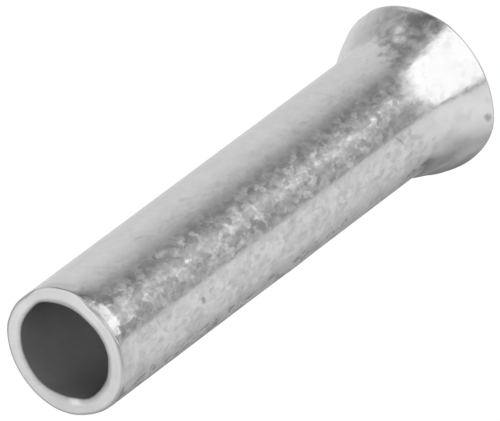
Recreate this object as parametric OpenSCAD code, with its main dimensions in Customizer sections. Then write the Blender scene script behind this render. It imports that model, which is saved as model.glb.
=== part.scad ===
// Bare end sleeve (wire ferrule) for a fine-stranded conductor.
// One seamless tinned copper tube: a straight barrel with a plain cut end,
// and a mouth flared outward to guide the strands in.
// Frame: millimetres. The mouth's rim lies on the plane z = 0 with its centre
// at the origin, and the barrel's axis runs up +Z to the plain end.

/* [Barrel] */
// Inside diameter of the barrel, where the conductor goes
conductor_bore = 1.0; // [0.8:0.05:1.4]
// Thickness of the tube wall
wall = 0.15; // [0.12:0.01:0.18]
// Overall length, from the mouth's rim to the plain end
sleeve_length = 6.0; // [5:0.5:12]

/* [Flared mouth] */
// How much wider the mouth's rim is than the barrel, outside diameters
mouth_growth = 0.42; // [0.36:0.02:0.8]
// Angle of the flared wall from the axis
flare_angle = 17.5; // [15:0.5:25]
// Radius of the bend between barrel and flare, on the outside
bend_r = 0.30; // [0.2:0.05:0.4]
// Rounding of the rim's outer and inner edges
lip_r = 0.03; // [0.02:0.005:0.04]

/* [Plain end] */
// Length over which the cut pulled the outside edge inward
end_roll_h = 0.12; // [0.08:0.01:0.2]
// How far the outside edge is pulled in at the end face
end_roll_d = 0.02; // [0.01:0.005:0.03]
// Bevel on the bore's edge at the end face
bore_bevel = 0.015; // [0.01:0.005:0.03]

/* [Hidden] */
steps = 180;
bore_r = conductor_bore / 2;
barrel_r = bore_r + wall;
mouth_r = barrel_r + mouth_growth / 2;
// radius where the flare's outside would meet the rim's plane if it were sharp
sharp_r = mouth_r + lip_r * ((1 + sin(flare_angle)) / cos(flare_angle) - 1);
// height at which the flare's outside would meet the barrel's
out_z = (sharp_r - barrel_r) / tan(flare_angle);
// the same for the inside of the wall, which is one wall thickness away
in_z = out_z - wall * tan(flare_angle / 2);
sharp_in_r = bore_r + in_z * tan(flare_angle);
// the rolled-over outside edge is an arc tangent to the barrel
end_arc_r = (end_roll_h * end_roll_h + end_roll_d * end_roll_d) / (2 * end_roll_d);
// unit vector up the flared wall, from the rim to the barrel
up = [-sin(flare_angle), cos(flare_angle)];

// What lies between a corner at p and an arc of radius r that is tangent to
// the corner's two edges, which leave p along the unit vectors a and b. It
// reaches a little past the corner, so that it cuts or joins cleanly.
module corner_gap(p, a, b, r) {
    half = acos(a * b) / 2;
    reach = r / tan(half);
    bis = (a + b) / norm(a + b);
    centre = p + bis * (r / sin(half));
    difference() {
        polygon([p + reach * a, p - 0.04 * bis, p + reach * b, centre]);
        translate(centre) circle(r, $fn = 360);
    }
}

// Half section of the wall, from the bore outward, before the edges are eased
module sharp_section() {
    polygon([
        [bore_r, in_z], [sharp_in_r, 0], [sharp_r, 0], [barrel_r, out_z],
        [barrel_r, sleeve_length], [bore_r + bore_bevel, sleeve_length],
        [bore_r, sleeve_length - bore_bevel]
    ]);
}

// What the cut pulled in at the plain end's outside edge
module end_roll_gap() {
    difference() {
        translate([barrel_r - wall / 2, sleeve_length - end_roll_h]) square([wall, end_roll_h + 0.1]);
        translate([barrel_r - end_arc_r, sleeve_length - end_roll_h]) circle(end_arc_r, $fn = 720);
    }
}

// Half section as it is: bent, not creased, between barrel and flare
module wall_section() {
    difference() {
        union() {
            sharp_section();
            corner_gap([barrel_r, out_z], [0, 1], -up, bend_r);
        }
        corner_gap([bore_r, in_z], [0, 1], -up, bend_r + wall);
        corner_gap([sharp_r, 0], [-1, 0], up, lip_r);
        corner_gap([sharp_in_r, 0], [1, 0], up, lip_r);
        end_roll_gap();
    }
}

module sleeve() {
    color([0.80, 0.80, 0.81]) rotate_extrude($fn = steps) wall_section();
}

sleeve();
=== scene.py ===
# Looks for the bare wire ferrule: one tinned sleeve standing on its flared mouth.
# Everything is in metres in the CAD's frame; lengths below are in millimetres and scaled by MM.
import bpy, math
import numpy as np
from mathutils import Matrix, Vector


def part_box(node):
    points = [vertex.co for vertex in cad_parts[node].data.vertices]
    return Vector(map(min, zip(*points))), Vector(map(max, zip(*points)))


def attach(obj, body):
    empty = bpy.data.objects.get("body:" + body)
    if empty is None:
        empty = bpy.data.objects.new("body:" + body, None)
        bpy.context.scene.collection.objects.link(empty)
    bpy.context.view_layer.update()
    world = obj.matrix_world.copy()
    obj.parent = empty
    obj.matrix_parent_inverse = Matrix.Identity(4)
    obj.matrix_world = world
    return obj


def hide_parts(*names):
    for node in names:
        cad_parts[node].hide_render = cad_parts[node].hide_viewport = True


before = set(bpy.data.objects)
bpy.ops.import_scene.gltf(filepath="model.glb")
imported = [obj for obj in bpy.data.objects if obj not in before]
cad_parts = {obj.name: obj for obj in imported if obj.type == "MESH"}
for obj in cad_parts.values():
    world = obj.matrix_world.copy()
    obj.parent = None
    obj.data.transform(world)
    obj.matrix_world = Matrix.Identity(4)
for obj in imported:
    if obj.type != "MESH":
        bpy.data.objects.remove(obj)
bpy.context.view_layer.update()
MM = 0.001
scene = bpy.context.scene

# ---------------------------------------------------------------- sizes, from the CAD box
lo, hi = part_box("sleeve")
LENGTH = (hi.z - lo.z) / MM
MOUTH_R = 0.86
BARREL_R, BORE_R = 0.65, 0.5
WALL = BARREL_R - BORE_R
FLARE_A = math.radians(17.5)
BEND_R, LIP_R = 0.30, 0.03

# ---------------------------------------------------------------- camera
# The camera looks down on the plain end at 46 degrees, rolled so that the mouth lies to the upper right.
W, H = 500, 421
VIEW_TH, VIEW_ROLL = math.radians(43.883427), 0.643735
NEAR_PX = (64.455889, 353.538458)
DIST_PX, BARREL_PX = 1 / 6.74387e-5, 70.315418
unit = BARREL_R * MM / BARREL_PX


def build_camera():
    data = bpy.data.cameras.new("photo_camera")
    data.sensor_width = 36.0
    data.lens = 36.0 * DIST_PX / W
    cam = bpy.data.objects.new("photo_camera", data)
    scene.collection.objects.link(cam)
    # camera axes in the row frame: back is towards the camera
    back = Vector((0, -math.sin(VIEW_TH), math.cos(VIEW_TH)))
    r0 = Vector((1, 0, 0))
    up0 = back.cross(r0)
    # the tube's +Z points to the lower left of the picture
    a = math.pi + VIEW_ROLL
    right = math.cos(a - math.pi / 2) * r0 + math.cos(a) * up0
    up = math.sin(a - math.pi / 2) * r0 + math.sin(a) * up0
    # where the plain end's centre is seen
    near = Vector((0, 0, LENGTH * MM))
    x = (NEAR_PX[0] - W / 2) * unit
    y = -(NEAR_PX[1] - H / 2) * unit
    # the viewing angle is measured along the picture's own axis, not along the ray to the near end
    pos = near - x * right - y * up + DIST_PX * unit * back
    m = Matrix((right, up, back)).transposed().to_4x4()
    m.translation = pos
    cam.matrix_world = m
    data.clip_start, data.clip_end = 0.01, 10.0
    scene.camera = cam
    return cam


build_camera()


# ---------------------------------------------------------------- the sleeve's mesh
def arc(c, r, a0, a1, n):
    t = np.linspace(a0, a1, n)
    return np.c_[c[0] + r * np.cos(t), c[1] + r * np.sin(t)]


def line(p, q, n):
    t = np.linspace(0, 1, n)[:, None]
    return np.array(p) * (1 - t) + np.array(q) * t


def around(knots, t, soft=5.0):
    """a closed curve of values round the sleeve through (bearing in degrees, value) knots, softened"""
    deg = np.degrees(t)
    k = sorted(knots)
    v = np.interp(deg, [p for p, _ in k], [x for _, x in k], period=360)
    d = (deg[None, :] - deg[:, None] + 180) % 360 - 180
    w = np.exp(-(d / soft) ** 2)
    return (w @ v) / w.sum(1)


def bell(x, c, w):
    return np.exp(-((x - c) / w) ** 2)


def section(al, bend_r, roll_h, roll_a, er, bevel=0.022):
    """The wall's closed outline as (radius, height) points, and which zone each belongs to."""
    sharp_r = MOUTH_R + LIP_R * ((1 + math.sin(al)) / math.cos(al) - 1)
    out_z = (sharp_r - BARREL_R) / math.tan(al)
    in_z = out_z - WALL * math.tan(al / 2)
    sharp_in = BORE_R + in_z * math.tan(al)
    bz = out_z + bend_r * math.tan(al / 2)
    c = (BARREL_R + bend_r, bz)
    parts = []
    # outer lip, from the rim's flat bottom round to the flare
    oc = (MOUTH_R - LIP_R, LIP_R)
    parts.append(("lip", arc(oc, LIP_R, -math.pi / 2, al, 8)))
    # bend, concave: from the flare's line up to the barrel
    bend = arc(c, bend_r, math.pi + al, math.pi, 26)
    parts.append(("flare", line(parts[-1][1][-1], bend[0], 14)[1:-1]))
    parts.append(("bend", bend))
    # barrel
    parts.append(("barrel", line(bend[-1], (BARREL_R, LENGTH - roll_h), 48)[1:-1]))
    # rolled edge: it leans in more and more, then a small round joins it to the face
    a_end = math.radians(roll_a)
    run = roll_h - er * (1 - math.sin(a_end))
    u = np.linspace(0, 1, 24)
    v = np.minimum(u / 0.4, 1)
    lean = np.where(u < 0.4, 0.4 * (v ** 3 - v ** 4 / 2), u - 0.2)
    roll = np.c_[BARREL_R - math.tan(a_end) * run * lean, LENGTH - roll_h + run * u]
    ec = (roll[-1, 0] - er * math.cos(a_end), LENGTH - er)
    parts.append(("roll", roll))
    parts.append(("edge", arc(ec, er, a_end, math.pi / 2, 13)[1:]))
    # cut face, inward
    parts.append(("face", line((ec[0], LENGTH), (BORE_R + bevel, LENGTH), 10)[1:-1]))
    parts.append(("bevel", arc((BORE_R + bevel, LENGTH - bevel), bevel, math.pi / 2, math.pi, 10)[:-1]))
    parts.append(("bore", line((BORE_R, LENGTH - bevel), (BORE_R, bz), 26)[:-1]))
    parts.append(("bore", arc(c, bend_r + WALL, math.pi, math.pi + al, 14)))
    # inner lip
    half = (math.pi / 2 + al) / 2
    ic = (sharp_in + LIP_R / math.tan(half), LIP_R)
    lip = arc(ic, LIP_R, math.pi + al, 1.5 * math.pi, 7)
    parts.append(("bore", line(parts[-1][1][-1], lip[0], 10)[1:-1]))
    parts.append(("bore", lip))
    parts.append(("rim", line(lip[-1], parts[0][1][0], 5)[1:-1]))
    pts = np.concatenate([p for _, p in parts])
    zone = sum([[n] * len(p) for n, p in parts], [])
    return pts, zone


# How the real sleeve strays from a true one, in mm by bearing (0 is the side that the camera sees, +90 is -X)
CUT_OUT = [(-180, .001), (-165, .004), (-150, .009), (-143, .012), (-137, .016), (-131, .020), (-125, .025), (-118, .018), (-105, .015),
           (-97, .009), (-88, 0), (-75, .015), (-60, .027), (-47, .030), (-36, .040), (-29, .034), (-24, .008), (-18, -.008), (-11, -.001), (0, .004), (12, .006),
           (22, .002), (60, 0), (90, 0), (100, -.003), (108, -.005), (118, -.003), (128, .006), (140, .010), (150, .010), (165, .005)]
CUT_IN = [(-180, -.013), (-165, -.016), (-150, -.010), (-135, -.007), (-120, .001), (-105, .003), (-90, .005), (-76, .026), (-60, .006),
          (-45, -.003), (-30, -.007), (-15, -.020), (0, -.015), (15, -.011), (30, -.013), (45, -.028), (60, -.027), (75, -.034), (90, -.033),
          (105, -.024), (120, -.041), (135, -.043), (150, -.036), (165, -.018)]
RIM = [(-180, 0), (-125, .002), (-110, .004), (-95, .003), (-78, .010), (-66, .006), (-50, 0), (-30, .003), (-20, .007), (-13, -.003), (-8, -.004), (0, -.007), (7, -.009),
       (14, -.008), (25, -.010), (38, -.005), (50, .010), (60, .012), (70, .001), (82, -.011), (92, -.013), (100, -.012), (107, -.006), (113, .008),
       (120, .010), (130, .005), (145, 0)]


def build_sleeve():
    pts, zone = section(FLARE_A, BEND_R, 0.10, 2, 0.050)
    wide, _ = section(math.radians(22), 2.1, 0.10, 2, 0.050)
    crisp, _ = section(FLARE_A, BEND_R, 0.10, 1, 0.022)
    soft, _ = section(FLARE_A, BEND_R, 0.22, 8, 0.026)
    n, m = len(pts), 400
    t = np.linspace(-math.pi, math.pi, m, endpoint=False)
    zone = np.array(zone)
    # the flare opens in one long curve on the side that the camera sees, and with a tighter bend round the back
    ease = 1 - np.where(t < 0, np.clip((-np.degrees(t) - 58) / 36, 0, 1), np.clip((np.degrees(t) - 74) / 30, 0, 1))
    ease = ease * ease * (3 - 2 * ease)
    # there the edge is rolled in deeper, next to a stretch where the cut left it sharp
    deep = np.exp(-(np.degrees(t) / np.where(t < 0, 18, 15)) ** 2)
    sharp = np.clip((np.degrees(t) + 88) / 14, 0, 1) * np.clip((18 - np.degrees(t)) / 12, 0, 1) * (1 - deep)
    mixes = ((wide, ease), (crisp, sharp), (soft, deep))
    r, z = (pts[:, k][:, None] + sum((other - pts)[:, k][:, None] * w for other, w in mixes) for k in (0, 1))
    outer = np.isin(zone, ("lip", "flare", "bend", "barrel", "roll", "edge"))
    face = zone == "face"
    inner = np.isin(zone, ("bevel", "bore"))
    deg = np.degrees(t)[None, :]
    # the flare isn't quite true: a tight neck on +X, a fuller one on -X, and a rim pressed a little out of round
    neck = 1 - np.clip((z - 0.56) / 0.16, 0, 1)
    sway = -0.035 * bell(z, 0.50, 0.20) * bell(deg, -112, 38) * neck + 0.010 * bell(z, 0.52, 0.20) * bell(deg, 104, 34)
    sway = sway + 0.013 * bell(z, 0.21, 0.13) * bell(deg, 111, 24) - 0.006 * bell(z, 0.30, 0.14) * bell(deg, 78, 22)
    sway = sway + 0.005 * bell(z, 2.85, 0.30) * bell(deg, 104, 34)
    sway = sway + around(RIM, t)[None, :] * np.exp(-(z / 0.28) ** 2)
    r = r + sway
    # the cut: rolled less on one side, and a hole that isn't quite round there
    depth = LENGTH - z
    near = np.exp(-(depth / 0.12) ** 2)
    d_out = around(CUT_OUT, t)[None, :] * near
    d_in = around(CUT_IN, t)[None, :] * np.exp(-(depth / 0.5) ** 2)
    share = np.clip((r - BORE_R) / (0.60 - BORE_R), 0, 1)
    lip = np.where(face[:, None] | inner[:, None], r - BORE_R, 0.2)
    r = r + np.where(outer[:, None], d_out, 0) + np.where(inner[:, None], d_in, 0)
    r = r + np.where(face[:, None], d_out * share + d_in * (1 - share), 0)
    # nothing reaches past the CAD's box
    r = np.minimum(r, 0.9999 * hi.x / MM / np.maximum(np.abs(np.sin(t)), 1e-6))
    r = np.minimum(r, 0.9999 * hi.y / MM / np.maximum(np.abs(np.cos(t)), 1e-6))
    # phi is measured from -Y, the side that the camera sees, towards -X
    v = np.stack([-r * np.sin(t), -r * np.cos(t), z], -1).reshape(-1, 3) * MM
    i = np.arange(n)[:, None]
    j = np.arange(m)[None, :]
    i2, j2 = (i + 1) % n, (j + 1) % m
    quads = np.stack([i * m + j, i * m + j2 + 0 * i, i2 * m + j2, i2 * m + j], -1).reshape(-1, 4)
    me = bpy.data.meshes.new("sleeve_skin")
    me.from_pydata(v.tolist(), [], quads.tolist())
    me.polygons.foreach_set("use_smooth", [True] * len(me.polygons))
    slot = np.select([zone == "bore", np.isin(zone, ("face", "bevel"))], [1, 2], 0)
    slot[np.flatnonzero(zone == "edge")[5:]] = 2
    me.polygons.foreach_set("material_index", np.repeat(slot.astype(np.int32), m))
    # one strip for the outside and the cut face, one for the inside
    run = np.r_[0, np.cumsum(np.hypot(*np.diff(np.r_[pts, pts[:1]], axis=0).T))]
    cut = int(np.argmax(zone == "bevel"))
    uv = np.zeros((n, m, 4, 2))
    for strip, (i0, i1, u0, u1) in enumerate(((0, cut, 0.005, 0.565), (cut, n, 0.58, 0.995))):
        vv = 0.005 + 0.99 * (run[i0:i1 + 1] - run[i0]) / (run[i1] - run[i0])
        uu = u0 + (u1 - u0) * np.arange(m + 1) / m
        k = np.arange(i0, i1)
        for c, (di, dj) in enumerate(((0, 0), (0, 1), (1, 1), (1, 0))):
            uv[k, :, c, 0] = uu[None, dj:m + dj]
            uv[k, :, c, 1] = vv[k - i0 + di][:, None]
    layer = me.uv_layers.new(name="OFBake")
    layer.data.foreach_set("uv", uv.reshape(-1))
    # how far in from the hole's edge each point of the cut face is, in mm
    me.attributes.new("from_hole", "FLOAT", "POINT").data.foreach_set("value", lip.reshape(-1))
    me.update()
    ob = bpy.data.objects.new("sleeve_skin", me)
    scene.collection.objects.link(ob)
    return ob


sleeve = build_sleeve()


# ---------------------------------------------------------------- node helpers
class Tree:
    def __init__(self, nt):
        self.nt = nt
        nt.nodes.clear()

    def node(self, kind, **props):
        nd = self.nt.nodes.new(kind)
        for k, v in props.items():
            setattr(nd, k, v)
        return nd

    def put(self, sock, v):
        if hasattr(v, "links"):
            self.nt.links.new(v, sock)
        elif v is not None:
            sock.default_value = v

    def math(self, op, a, b=None, c=None, clamp=False):
        nd = self.node("ShaderNodeMath", operation=op, use_clamp=clamp)
        for s, v in zip(nd.inputs, (a, b, c)):
            self.put(s, v)
        return nd.outputs[0]

    def step(self, v, a, b):
        """0 below a, 1 above b, smooth between"""
        nd = self.node("ShaderNodeMapRange", interpolation_type="SMOOTHSTEP")
        for s, x in zip(nd.inputs, (v, a, b, 0.0, 1.0)):
            self.put(s, x)
        return nd.outputs[0]

    def span(self, v, a0, a1, b0, b1):
        """1 between a1 and b0, falling to 0 at a0 and b1"""
        return self.math("MULTIPLY", self.step(v, a0, a1), self.math("SUBTRACT", 1.0, self.step(v, b0, b1)))

    def rng(self, v, a, b, c, d):
        nd = self.node("ShaderNodeMapRange", interpolation_type="LINEAR")
        for s, x in zip(nd.inputs, (v, a, b, c, d)):
            self.put(s, x)
        return nd.outputs[0]

    def mix(self, f, a, b):
        """a number between a and b"""
        nd = self.node("ShaderNodeMix", data_type="FLOAT")
        self.put(nd.inputs[0], f)
        self.put(nd.inputs[2], a)
        self.put(nd.inputs[3], b)
        return nd.outputs[0]

    def ramp(self, v, stops, kind="LINEAR"):
        nd = self.node("ShaderNodeValToRGB")
        nd.color_ramp.interpolation = kind
        el = nd.color_ramp.elements
        while len(el) > 1:
            el.remove(el[-1])
        el[0].position, el[0].color = stops[0][0], (stops[0][1],) * 3 + (1,)
        for p, x in stops[1:]:
            e = el.new(p)
            e.color = (x,) * 3 + (1,)
        self.put(nd.inputs[0], v)
        return nd.outputs[0]


# ---------------------------------------------------------------- studio
def ring(stops):
    """stops as (bearing in degrees, radiance / 2) for a ramp over -180..180"""
    return [((a + 180) / 360, b / 2) for a, b in stops]


# radiance round the studio at 46 degrees below the horizon, where the barrel looks
LOW = [(-180, 0.52), (-176, 0.67), (-172, 0.70), (-164, 0.715), (-154, 0.695), (-140, 0.69), (-120, 0.715), (-100, 0.72), (-88, 0.685), (-76, 0.64),
       (-65, 0.57), (-56, 0.45), (-48, 0.34), (-40, 0.29), (-20, 0.29), (12, 0.29), (24, 0.37), (34, 0.38), (41.2, 0.36), (43.2, 0.67), (52, 0.71),
       (75, 0.72), (90, 0.66), (106, 0.62), (118, 0.55), (133, 0.50), (150, 0.42), (165, 0.375), (175, 0.34), (180, 0.48)]
# the same at 10 to 30 degrees below, where the flare looks
MID = [(-180, 0.54), (-174, 0.75), (-146, 0.70), (-138, 0.63), (-130, 0.60), (-120, 0.58), (-112, 0.53), (-104, 0.40), (-94, 0.31), (-84, 0.27),
       (-70, 0.22), (-58, 0.175), (-44, 0.165), (-36, 0.25), (-30, 0.5), (0, 0.5), (36, 0.35), (37.5, 0.23), (39.5, 0.23), (42, 0.76), (57, 0.82),
       (68, 0.80), (78, 0.74), (88, 0.67), (96, 0.52), (104, 0.42), (114, 0.345), (122, 0.31), (141, 0.295), (155, 0.275), (173, 0.275), (180, 0.5)]


def build_world():
    world = bpy.data.worlds.new("studio")
    scene.world = world
    world.use_nodes = True
    t = Tree(world.node_tree)
    co = t.node("ShaderNodeTexCoord").outputs["Generated"]
    sep = t.node("ShaderNodeSeparateXYZ")
    t.put(sep.inputs[0], co)
    x, y, z = sep.outputs
    deg = 180 / math.pi
    az = t.math("MULTIPLY", t.math("ARCTAN2", t.math("MULTIPLY", x, -1.0), t.math("MULTIPLY", y, -1.0)), deg)
    el = t.math("MULTIPLY", t.math("ARCSINE", z), deg)
    f = t.rng(az, -180, 180, 0, 1)
    low = t.math("MULTIPLY", t.ramp(f, ring(LOW)), 2.0)
    mid = t.math("MULTIPLY", t.ramp(f, ring(MID)), 2.0)
    # on the back right it goes on getting darker right under the barrel's own band, on the left it holds for longer
    right = t.step(az, 108, 128)
    left = t.span(az, -135, -118, -62, -46)
    mid = t.math("MULTIPLY", mid, t.math("EXPONENT", t.math("MULTIPLY", right, t.rng(el, -46, -20, -0.48, 0.50))))
    mid = t.math("ADD", mid, t.math("MULTIPLY", t.math("MULTIPLY", left, t.step(az, -84, -104)), t.math("MULTIPLY", t.step(el, -21, -11), 0.22)))
    mid = t.math("ADD", mid, t.math("MULTIPLY", t.span(az, 88, 98, 118, 132), t.math("MULTIPLY", t.step(el, -24, -16), 0.07)))
    turn = t.mix(left, t.step(el, -43, -27), t.step(el, -35, -24))
    turn = t.mix(right, turn, t.step(el, -45.9, -43.2))
    turn = t.mix(t.step(az, 150, 164), turn, t.step(el, -45.95, -44.6))
    env = t.mix(turn, low, mid)
    # the band behind the sleeve that its cut edge looks at, then the bright room above
    back = t.step(t.math("ABSOLUTE", az), 95, 150)
    env = t.mix(t.math("MULTIPLY", back, t.step(el, -22, -8)), env, 0.20)
    front = t.math("SUBTRACT", 1.0, t.step(t.math("ABSOLUTE", az), 80, 105))
    env = t.mix(t.math("MULTIPLY", front, t.step(el, 5, 14)), env, t.rng(az, -40, -8, 0.48, 0.64))
    env = t.mix(t.math("MULTIPLY", t.math("SUBTRACT", 1.0, front), t.step(el, 24, 40)), env, 0.82)
    env = t.mix(t.step(el, 50, 58), env, 0.82)
    # soft glow under the softbox, which gives the barrel its bright ridge
    g = t.math("MULTIPLY", az, 1 / 17.0)
    glow = t.math("EXPONENT", t.math("MULTIPLY", t.math("MULTIPLY", g, g), -1.0))
    glow = t.math("MULTIPLY", glow, t.math("SUBTRACT", 0.31, t.math("MULTIPLY", t.step(el, 5, 20), 0.31)))
    # low down in front it falls off fast, so each facet that tilts looks at a different tone
    front = t.span(az, -56, -40, 40.5, 41.5)
    under = t.math("EXPONENT", t.math("MULTIPLY", t.rng(el, -80, -46, -34.0, 0.0), 0.042))
    over = t.math("EXPONENT", t.math("MULTIPLY", t.rng(el, -46, -30, 0.0, 16.0), 0.042))
    over = t.mix(t.step(el, -8, 3), over, 1.0)
    # a gentler fall-off everywhere else
    slope = t.math("ADD", 0.012, t.math("MULTIPLY", t.step(az, 40, 43), 0.018))
    calm = t.math("EXPONENT", t.math("MULTIPLY", slope, t.rng(el, -56, -44, -10.0, 2.0)))
    fall = t.mix(front, calm, t.math("MULTIPLY", under, over))
    fall = t.mix(t.span(az, -100, -82, -50, -40), fall, t.math("MULTIPLY", under, t.mix(front, 1.0, over)))
    env = t.math("MULTIPLY", t.math("ADD", env, glow), fall)
    # and the paper underneath comes back bright
    env = t.mix(t.step(el, -64, -78), env, 0.70)
    env = t.mix(t.math("MULTIPLY", t.span(az, -42, -34, 60, 80), t.step(el, -56, -66)), env, 0.85)
    # the softbox that faces the camera's side; its lower edge is rounded
    q = t.math("MULTIPLY", az, 1 / 40.0)
    lift = t.math("MULTIPLY", t.math("MULTIPLY", q, q), 9.0)
    els = t.math("SUBTRACT", el, lift)
    soft = t.math("MULTIPLY", t.span(az, -35.5, -30, 34, 36.5), t.math("MULTIPLY", t.step(els, -40, -32), t.math("SUBTRACT", 1.0, t.step(el, -2, 6))))
    env = t.mix(soft, env, 1.22)
    bg = t.node("ShaderNodeBackground")
    t.put(bg.inputs[0], env)
    bg.inputs[1].default_value = 1.0
    white = t.node("ShaderNodeBackground")
    white.inputs[0].default_value = (1, 1, 1, 1)
    white.inputs[1].default_value = 1.05
    lp = t.node("ShaderNodeLightPath")
    mx = t.node("ShaderNodeMixShader")
    t.put(mx.inputs[0], lp.outputs["Is Camera Ray"])
    t.put(mx.inputs[1], bg.outputs[0])
    t.put(mx.inputs[2], white.outputs[0])
    out = t.node("ShaderNodeOutputWorld")
    t.put(out.inputs[0], mx.outputs[0])


build_world()


def build_sun():
    """a low soft light from over the camera's side: it only lights dull surfaces, and reaches down the bore"""
    data = bpy.data.lights.new("fill", "SUN")
    data.energy = 4.0
    data.angle = math.radians(12)
    ob = bpy.data.objects.new("fill", data)
    scene.collection.objects.link(ob)
    el = math.radians(63)
    towards = Vector((0, -math.cos(el), math.sin(el)))
    ob.rotation_euler = towards.to_track_quat("Z", "Y").to_euler()
    ob.location = towards * 0.1
    ob.visible_glossy = False
    return ob


build_sun()


def build_floor():
    me = bpy.data.meshes.new("floor")
    s = 3.0
    me.from_pydata([(-s, -s, 0), (s, -s, 0), (s, s, 0), (-s, s, 0)], [], [(0, 1, 2, 3)])
    ob = bpy.data.objects.new("floor", me)
    scene.collection.objects.link(ob)
    mat = bpy.data.materials.new("floor_paper")
    mat.use_nodes = True
    t = Tree(mat.node_tree)
    em = t.node("ShaderNodeEmission")
    em.inputs[0].default_value = (1, 1, 1, 1)
    em.inputs[1].default_value = 1.02
    out = t.node("ShaderNodeOutputMaterial")
    t.put(out.inputs[0], em.outputs[0])
    me.materials.append(mat)
    ob.visible_glossy = False
    ob.visible_shadow = False
    ob.visible_diffuse = False
    return ob


build_floor()


# ---------------------------------------------------------------- materials
def skin_coords(t):
    """object coordinates in mm, with height z and bearing phi in degrees"""
    co = t.node("ShaderNodeTexCoord").outputs["Object"]
    mp = t.node("ShaderNodeMapping")
    t.put(mp.inputs[0], co)
    mp.inputs["Scale"].default_value = (1000, 1000, 1000)
    sep = t.node("ShaderNodeSeparateXYZ")
    t.put(sep.inputs[0], mp.outputs[0])
    x, y, z = sep.outputs
    phi = t.math("MULTIPLY", t.math("ARCTAN2", t.math("MULTIPLY", x, -1.0), t.math("MULTIPLY", y, -1.0)), 180 / math.pi)
    return mp.outputs[0], z, phi


def noise(t, vec, scale, detail=2.0, rough=0.5, dist=0.0):
    nd = t.node("ShaderNodeTexNoise")
    t.put(nd.inputs["Vector"], vec)
    nd.inputs["Scale"].default_value = scale
    nd.inputs["Detail"].default_value = detail
    nd.inputs["Roughness"].default_value = rough
    nd.inputs["Distortion"].default_value = dist
    return nd.outputs[0]


def blot(t, z, phi, z0, phi0, rz, rphi, turn=0.0, soft=0.5):
    """1 inside an oval mark centred z0 mm from the mouth's end of the tube at bearing phi0, 0 outside; rphi in degrees"""
    mm = math.radians(1) * BARREL_R
    u = t.math("SUBTRACT", z, z0)
    v = t.math("MULTIPLY", t.math("SUBTRACT", phi, phi0), mm)
    c, s_ = math.cos(math.radians(turn)), math.sin(math.radians(turn))
    a = t.math("ADD", t.math("MULTIPLY", u, c / rz), t.math("MULTIPLY", v, s_ / rz))
    b = t.math("SUBTRACT", t.math("MULTIPLY", v, c / (rphi * mm)), t.math("MULTIPLY", u, s_ / (rphi * mm)))
    d = t.math("SQRT", t.math("ADD", t.math("MULTIPLY", a, a), t.math("MULTIPLY", b, b)))
    return t.math("SUBTRACT", 1.0, t.step(d, 1.0 - soft, 1.0 + soft))


# mm from the plain end, bearing, half sizes in mm and degrees, turn, softness, how dark. Each darkens the base colour
# in a spot; the two wide ones by the neck on the lower side (4.86 and 5.04 mm, 76 and 69 degrees) are painted shade of
# the concave neck, and the two thin ones at 22.8 and 23.6 degrees are a painted dark reflection under the flare's
# highlight
MARKS_AND_SHADE = [
    (1.36, 36, 0.030, 3.2, 12, 0.5, 0.38),
    (0.645, 28, 0.012, 5.0, 8, 0.6, 0.14),
    (0.72, 37.5, 0.012, 4.5, 50, 0.6, 0.14),
    (0.90, 42, 0.10, 0.9, 0, 0.6, 0.10),
    (4.73, 27, 0.016, 6.2, 38, 0.6, 0.26),
    (4.43, -50, 0.016, 22, 0, 0.6, 0.07),
    (2.04, -48, 0.05, 2.5, -30, 0.8, 0.13),
    (1.23, -43, 0.05, 1.6, -20, 0.8, 0.14),
    (3.10, -43, 0.05, 2.5, 20, 0.8, 0.08),
    (2.29, 38, 0.04, 7, 0, 0.8, 0.11),
    (2.93, 24, 0.06, 3.5, 30, 0.7, 0.12),
    (3.25, 41, 0.035, 5, 0, 0.8, 0.12),
    (3.27, 69, 0.16, 5.5, -25, 0.9, 0.22),
    (2.40, 68, 0.07, 5, -35, 0.9, 0.16),
    (1.62, 66, 0.09, 4, -30, 0.9, 0.10),
    (3.95, 47, 0.05, 2, 0, 0.7, 0.09),
    (4.95, 48, 0.04, 2, 0, 0.7, 0.12),
    (5.908, 47.5, 0.035, 2.8, 0, 0.6, 0.42),
    (5.70, 22.8, 0.24, 1.6, 0, 0.9, 0.09),
    (5.77, 23.6, 0.07, 1.9, 0, 0.9, 0.20),
    (5.93, 36, 0.02, 3, 20, 0.8, 0.10),
    (4.86, 76, 0.22, 8, 0, 0.9, 0.10),
    (5.12, 49, 0.05, 2.5, 35, 0.8, 0.12),
    (5.24, 46, 0.03, 1.6, 20, 0.8, 0.12),
    (5.05, 58, 0.07, 3, 40, 0.8, 0.08),
    (5.04, 69, 0.20, 13, 0, 0.95, 0.15),
    (5.92, -34, 0.045, 6, 0, 0.7, 0.20),
    (5.62, -18.5, 0.11, 1.8, 0, 0.8, 0.24),
    (5.86, -42, 0.030, 4, 20, 0.7, 0.14),
    (5.37, -38, 0.040, 4, 0, 0.8, 0.22),
    (5.46, -41, 0.040, 3, 0, 0.8, 0.14),
    (5.88, -25, 0.035, 2.5, 0, 0.8, 0.20),
    (5.12, -73, 0.030, 2.5, 30, 0.8, 0.10),
    (5.20, -60, 0.025, 4, 20, 0.8, 0.06),
]


# frosted patches on the pressed side of the flare: mm from the plain end, bearing, half sizes, turn, strength
FROST = [
    (5.60, -42, 0.055, 6, 10, 1.0),
    (5.69, -47, 0.060, 5, 30, 1.0),
    (5.62, -31, 0.050, 5, 0, 0.6),
    (5.74, -35, 0.040, 5, 0, 0.5),
    (5.80, -23, 0.020, 2, 0, 0.5),
    (5.95, -50, 0.030, 9, 0, 0.9),
]


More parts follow.
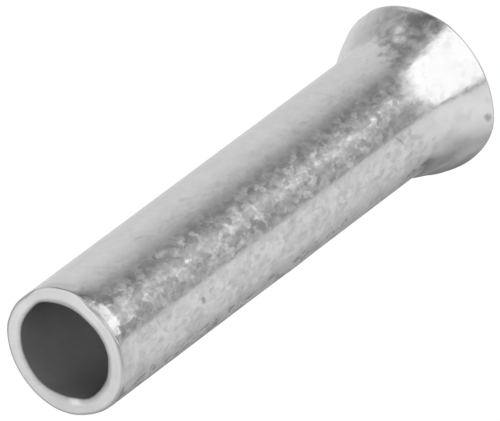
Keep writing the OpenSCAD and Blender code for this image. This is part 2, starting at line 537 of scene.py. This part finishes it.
# how much darker the outside is painted right at the cut, and a little behind it, by bearing: painted shade of the
# rolled edge
EDGE_SHADE = [(-72, 0), (-62, .06), (-30, .04), (-26, .04), (-21, .06), (-15, .26), (-10, .36), (0, .38), (9, .28), (14, .24), (20, .28), (30, .20), (45, .14), (58, 0)]
END_SHADE = [(-76, 0), (-64, .12), (-45, .11), (-34, .10), (-27, .06), (-22, .06), (-15, .16), (-10, .24), (-4, .09), (1, 0), (8, .13), (14, .13), (20, .04), (30, .14),
            (45, .13), (56, 0)]
LIP_SHADE = [(-34, 0), (-30, .26), (-25, .33), (-18, .33), (-13, .10), (-9, 0)]


def tin():
    mat = bpy.data.materials.new("tin_plate")
    mat.use_nodes = True
    t = Tree(mat.node_tree)
    vec, z, phi = skin_coords(t)
    p = t.node("ShaderNodeBsdfPrincipled")
    # the plating's texture is drawn out along the tube
    mp = t.node("ShaderNodeMapping")
    t.put(mp.inputs[0], vec)
    mp.inputs["Scale"].default_value = (1.0, 1.0, 0.68)
    grain = mp.outputs[0]
    # crumpled plating: fine folds over a broader swell
    fine = noise(t, grain, 9.0, 2.5, 0.55, 0.6)
    broad = noise(t, grain, 3.2, 2.0, 0.5, 0.3)
    h = t.math("ADD", t.math("MULTIPLY", fine, 0.0012), t.math("MULTIPLY", broad, 0.0018))
    bump = t.node("ShaderNodeBump")
    bump.inputs["Strength"].default_value = 1.0
    bump.inputs["Distance"].default_value = MM
    t.put(bump.inputs["Height"], h)
    # crystals: facets of about a tenth of a millimetre, each tilted a little along the tube
    warp = t.node("ShaderNodeTexNoise")
    t.put(warp.inputs["Vector"], grain)
    warp.inputs["Scale"].default_value = 16.0
    warp.inputs["Detail"].default_value = 2.0
    add = t.node("ShaderNodeVectorMath", operation="MULTIPLY_ADD")
    t.put(add.inputs[0], warp.outputs["Color"])
    add.inputs[1].default_value = (0.08, 0.08, 0.08)
    t.put(add.inputs[2], grain)
    cell = t.node("ShaderNodeTexVoronoi", feature="SMOOTH_F1")
    t.put(cell.inputs["Vector"], add.outputs[0])
    cell.inputs["Scale"].default_value = 19.0
    cell.inputs["Smoothness"].default_value = 0.35
    csep = t.node("ShaderNodeSeparateColor")
    t.put(csep.inputs[0], cell.outputs["Color"])
    facet = t.math("SUBTRACT", csep.outputs[0], 0.5)
    swirl = t.math("SUBTRACT", noise(t, grain, 15.0, 4.0, 0.65, 0.4), 0.5)
    tilt = t.math("ADD", t.math("MULTIPLY", facet, 0.105), t.math("MULTIPLY", swirl, 0.25))
    # the flare's plating is coarser where the tool pressed it
    press = t.math("MULTIPLY", t.math("SUBTRACT", 1.0, t.step(z, 0.50, 0.68)), t.span(phi, -68, -56, -26, -19))
    # and smooth where the tool burnished it
    burnish = t.math("MULTIPLY", t.math("SUBTRACT", 1.0, t.step(z, 0.80, 1.02)), t.step(phi, -26, -14))
    tilt = t.math("MULTIPLY", tilt, t.math("ADD", 1.0, t.math("SUBTRACT", t.math("MULTIPLY", press, -0.45), t.math("MULTIPLY", burnish, 0.75))))
    axial = t.node("ShaderNodeCombineXYZ")
    t.put(axial.inputs[2], tilt)
    lean = t.node("ShaderNodeVectorMath", operation="ADD")
    t.put(lean.inputs[0], bump.outputs[0])
    t.put(lean.inputs[1], axial.outputs[0])
    norm = t.node("ShaderNodeVectorMath", operation="NORMALIZE")
    t.put(norm.inputs[0], lean.outputs[0])
    t.put(p.inputs["Normal"], norm.outputs[0])
    # frosted crystals scatter the light; the plating between them is smoother
    frost = t.step(csep.outputs[1], 0.35, 0.9)
    rough = t.rng(frost, 0.0, 1.0, 0.11, 0.24)
    # where it was pressed, small patches are frosted over
    speck = t.step(noise(t, grain, 9.0, 2.5, 0.55, 0.2), 0.40, 0.68)
    matt = t.math("MULTIPLY", press, t.math("MULTIPLY", speck, 0.38))
    for x, ph, rz, rp, turn, k in FROST:
        matt = t.math("MAXIMUM", matt, t.math("MULTIPLY", blot(t, z, phi, LENGTH - x, ph, rz, rp, turn, 0.75), t.math("MULTIPLY", t.rng(speck, 0.0, 1.0, 0.5, 1.0), k)))
    t.put(p.inputs["Roughness"], t.mix(matt, rough, 0.45))
    t.put(p.inputs["Metallic"], t.rng(matt, 0.0, 1.0, 1.0, 0.62))
    tone = t.rng(noise(t, vec, 2.2, 4.0, 0.6), 0.3, 0.7, 0.77, 0.83)
    # darkening of the base colour: blotchy grime, heavier towards bearing 60, then the listed marks, which are handling
    # marks and, at the neck and under the flare's highlight, painted shade
    side = t.rng(phi, 15, 60, 0.03, 0.20)
    grime_and_shade = t.math("MULTIPLY", t.step(noise(t, vec, 3.4, 3.0, 0.55, 0.4), 0.50, 0.76), side)
    ragged = t.node("ShaderNodeTexNoise")
    t.put(ragged.inputs["Vector"], vec)
    ragged.inputs["Scale"].default_value = 18.0
    ragged.inputs["Detail"].default_value = 2.0
    rsep = t.node("ShaderNodeSeparateColor")
    t.put(rsep.inputs[0], ragged.outputs["Color"])
    z_ = t.math("ADD", z, t.math("MULTIPLY", t.math("SUBTRACT", rsep.outputs[0], 0.5), 0.045))
    phi_ = t.math("ADD", phi, t.math("MULTIPLY", t.math("SUBTRACT", rsep.outputs[1], 0.5), 4.0))
    # the listed spots: handling marks, and at the neck and under the flare's highlight painted shade and a painted dark
    # reflection
    for x, ph, rz, rp, turn, soft, k in MARKS_AND_SHADE:
        grime_and_shade = t.math("ADD", grime_and_shade, t.math("MULTIPLY", blot(t, z_, phi_, LENGTH - x, ph, rz, rp, turn, soft), k))
    # painted shade: the tube's outside is drawn darker right at the cut, and less so for a tenth of a millimetre behind
    # that
    turned = t.rng(phi, -180, 180, 0, 1)
    for curve, (z0, z1, z2, z3) in ((EDGE_SHADE, (0.060, 0.030, 0.020, 0.008)), (END_SHADE, (0.19, 0.11, 0.020, 0.008)), (LIP_SHADE, (0.034, 0.022, -0.01, -0.02))):
        k = t.ramp(turned, [((a + 180) / 360, b) for a, b in curve])
        grime_and_shade = t.math("ADD", grime_and_shade, t.math("MULTIPLY", k, t.span(z, LENGTH - z0, LENGTH - z1, LENGTH - z2, LENGTH - z3)))
    tone = t.math("MULTIPLY", tone, t.math("SUBTRACT", 1.0, t.math("MINIMUM", grime_and_shade, 0.7)))
    comb = t.node("ShaderNodeCombineColor")
    for s_ in comb.inputs[:3]:
        t.put(s_, tone)
    t.put(p.inputs["Base Color"], comb.outputs[0])
    out = t.node("ShaderNodeOutputMaterial")
    t.put(out.inputs[0], p.outputs[0])
    return mat


# the bore's dark, dull, non-metallic base colour is painted shade: the plated inside would be metal lying in its own
# shade
def bore_painted_dark():
    mat = bpy.data.materials.new("bore_painted_shade")
    mat.use_nodes = True
    t = Tree(mat.node_tree)
    vec, z, phi = skin_coords(t)
    p = t.node("ShaderNodeBsdfPrincipled")
    p.inputs["Metallic"].default_value = 0.0
    p.inputs["Roughness"].default_value = 0.9
    p.inputs["Specular IOR Level"].default_value = 0.1
    tone = t.rng(noise(t, vec, 4.0, 3.0), 0.3, 0.7, 0.090, 0.102)
    comb = t.node("ShaderNodeCombineColor")
    for s_ in comb.inputs[:3]:
        t.put(s_, tone)
    t.put(p.inputs["Base Color"], comb.outputs[0])
    out = t.node("ShaderNodeOutputMaterial")
    t.put(out.inputs[0], p.outputs[0])
    return mat


# painted light and shade on the cut face, by bearing
FACE_SHADE = [(-180, 0.92), (-165, 0.94), (-145, 1.0), (-120, 1.10), (-98, 1.03), (-76, 0.93), (-60, 0.97), (-45, 1.0), (-28, 1.07), (-10, 1.02),
             (15, 0.96), (60, 0.93), (90, 0.93), (120, 0.92), (145, 0.86), (160, 0.88), (180, 0.92)]


# painted shade on the cut's rounded outer edge, by bearing
OVER_SHADE = [(-180, 0.9), (-120, 0.80), (-98, 0.95), (-60, 0.72), (-24, 0.60), (-14, 0.90), (0, 1.0), (14, 0.9), (30, 0.80), (60, 0.9), (90, 1.0), (140, 1.0), (180, 0.9)]


def cut_metal():
    mat = bpy.data.materials.new("cut_face")
    mat.use_nodes = True
    t = Tree(mat.node_tree)
    vec, z, phi = skin_coords(t)
    p = t.node("ShaderNodeBsdfPrincipled")
    p.inputs["Metallic"].default_value = 0.8
    t.put(p.inputs["Roughness"], t.rng(noise(t, vec, 6.0, 3.0), 0.3, 0.7, 0.35, 0.5))
    tone = t.rng(noise(t, vec, 2.6, 3.0, 0.6), 0.3, 0.7, 0.66, 0.76)
    hole = t.node("ShaderNodeAttribute", attribute_name="from_hole", attribute_type="GEOMETRY").outputs["Fac"]
    # painted shade: the face is drawn dark at the hole's edge, where it rounds over into the bore, over a wider strip
    # on the near side, and a little uneven
    far = t.step(t.math("ABSOLUTE", phi), 60, 140)
    painted_hole_light = t.math("ADD", hole, t.math("MULTIPLY", t.math("SUBTRACT", noise(t, vec, 11.0, 3.0, 0.6), 0.5), 0.016))
    hole_shade = t.step(painted_hole_light, t.mix(far, -0.004, -0.022), t.mix(far, 0.060, 0.046))
    tone = t.math("MULTIPLY", tone, t.mix(hole_shade, t.mix(far, 0.20, 0.34), 1.0))
    # one painted highlight low down on the hole's edge
    painted_hole_light = t.math("MULTIPLY", t.span(phi, 112, 121, 125, 134), t.span(hole, -0.012, 0.010, 0.030, 0.060))
    tone = t.math("MULTIPLY", tone, t.math("ADD", 1.0, t.math("MULTIPLY", painted_hole_light, 0.42)))
    # painted shade: it is drawn darker again where it turns over to the outside, by bearing
    over = t.ramp(t.rng(phi, -180, 180, 0, 1), [((a + 180) / 360, b) for a, b in OVER_SHADE])
    tone = t.math("MULTIPLY", tone, t.mix(t.step(z, LENGTH - 0.010, LENGTH - 0.001), over, 1.0))
    # painted light and shade by bearing round the cut face: lighter on one side, darker on the other
    shade = t.ramp(t.rng(phi, -180, 180, 0, 1), [((a + 180) / 360, b) for a, b in FACE_SHADE])
    tone = t.math("MULTIPLY", tone, shade)
    comb = t.node("ShaderNodeCombineColor")
    for s_ in comb.inputs[:3]:
        t.put(s_, tone)
    t.put(p.inputs["Base Color"], comb.outputs[0])
    out = t.node("ShaderNodeOutputMaterial")
    t.put(out.inputs[0], p.outputs[0])
    return mat


sleeve.data.materials.append(tin())
sleeve.data.materials.append(bore_painted_dark())
sleeve.data.materials.append(cut_metal())
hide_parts("sleeve")
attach(sleeve, "root")

scene.view_settings.view_transform = "Standard"
scene.view_settings.look = "None"
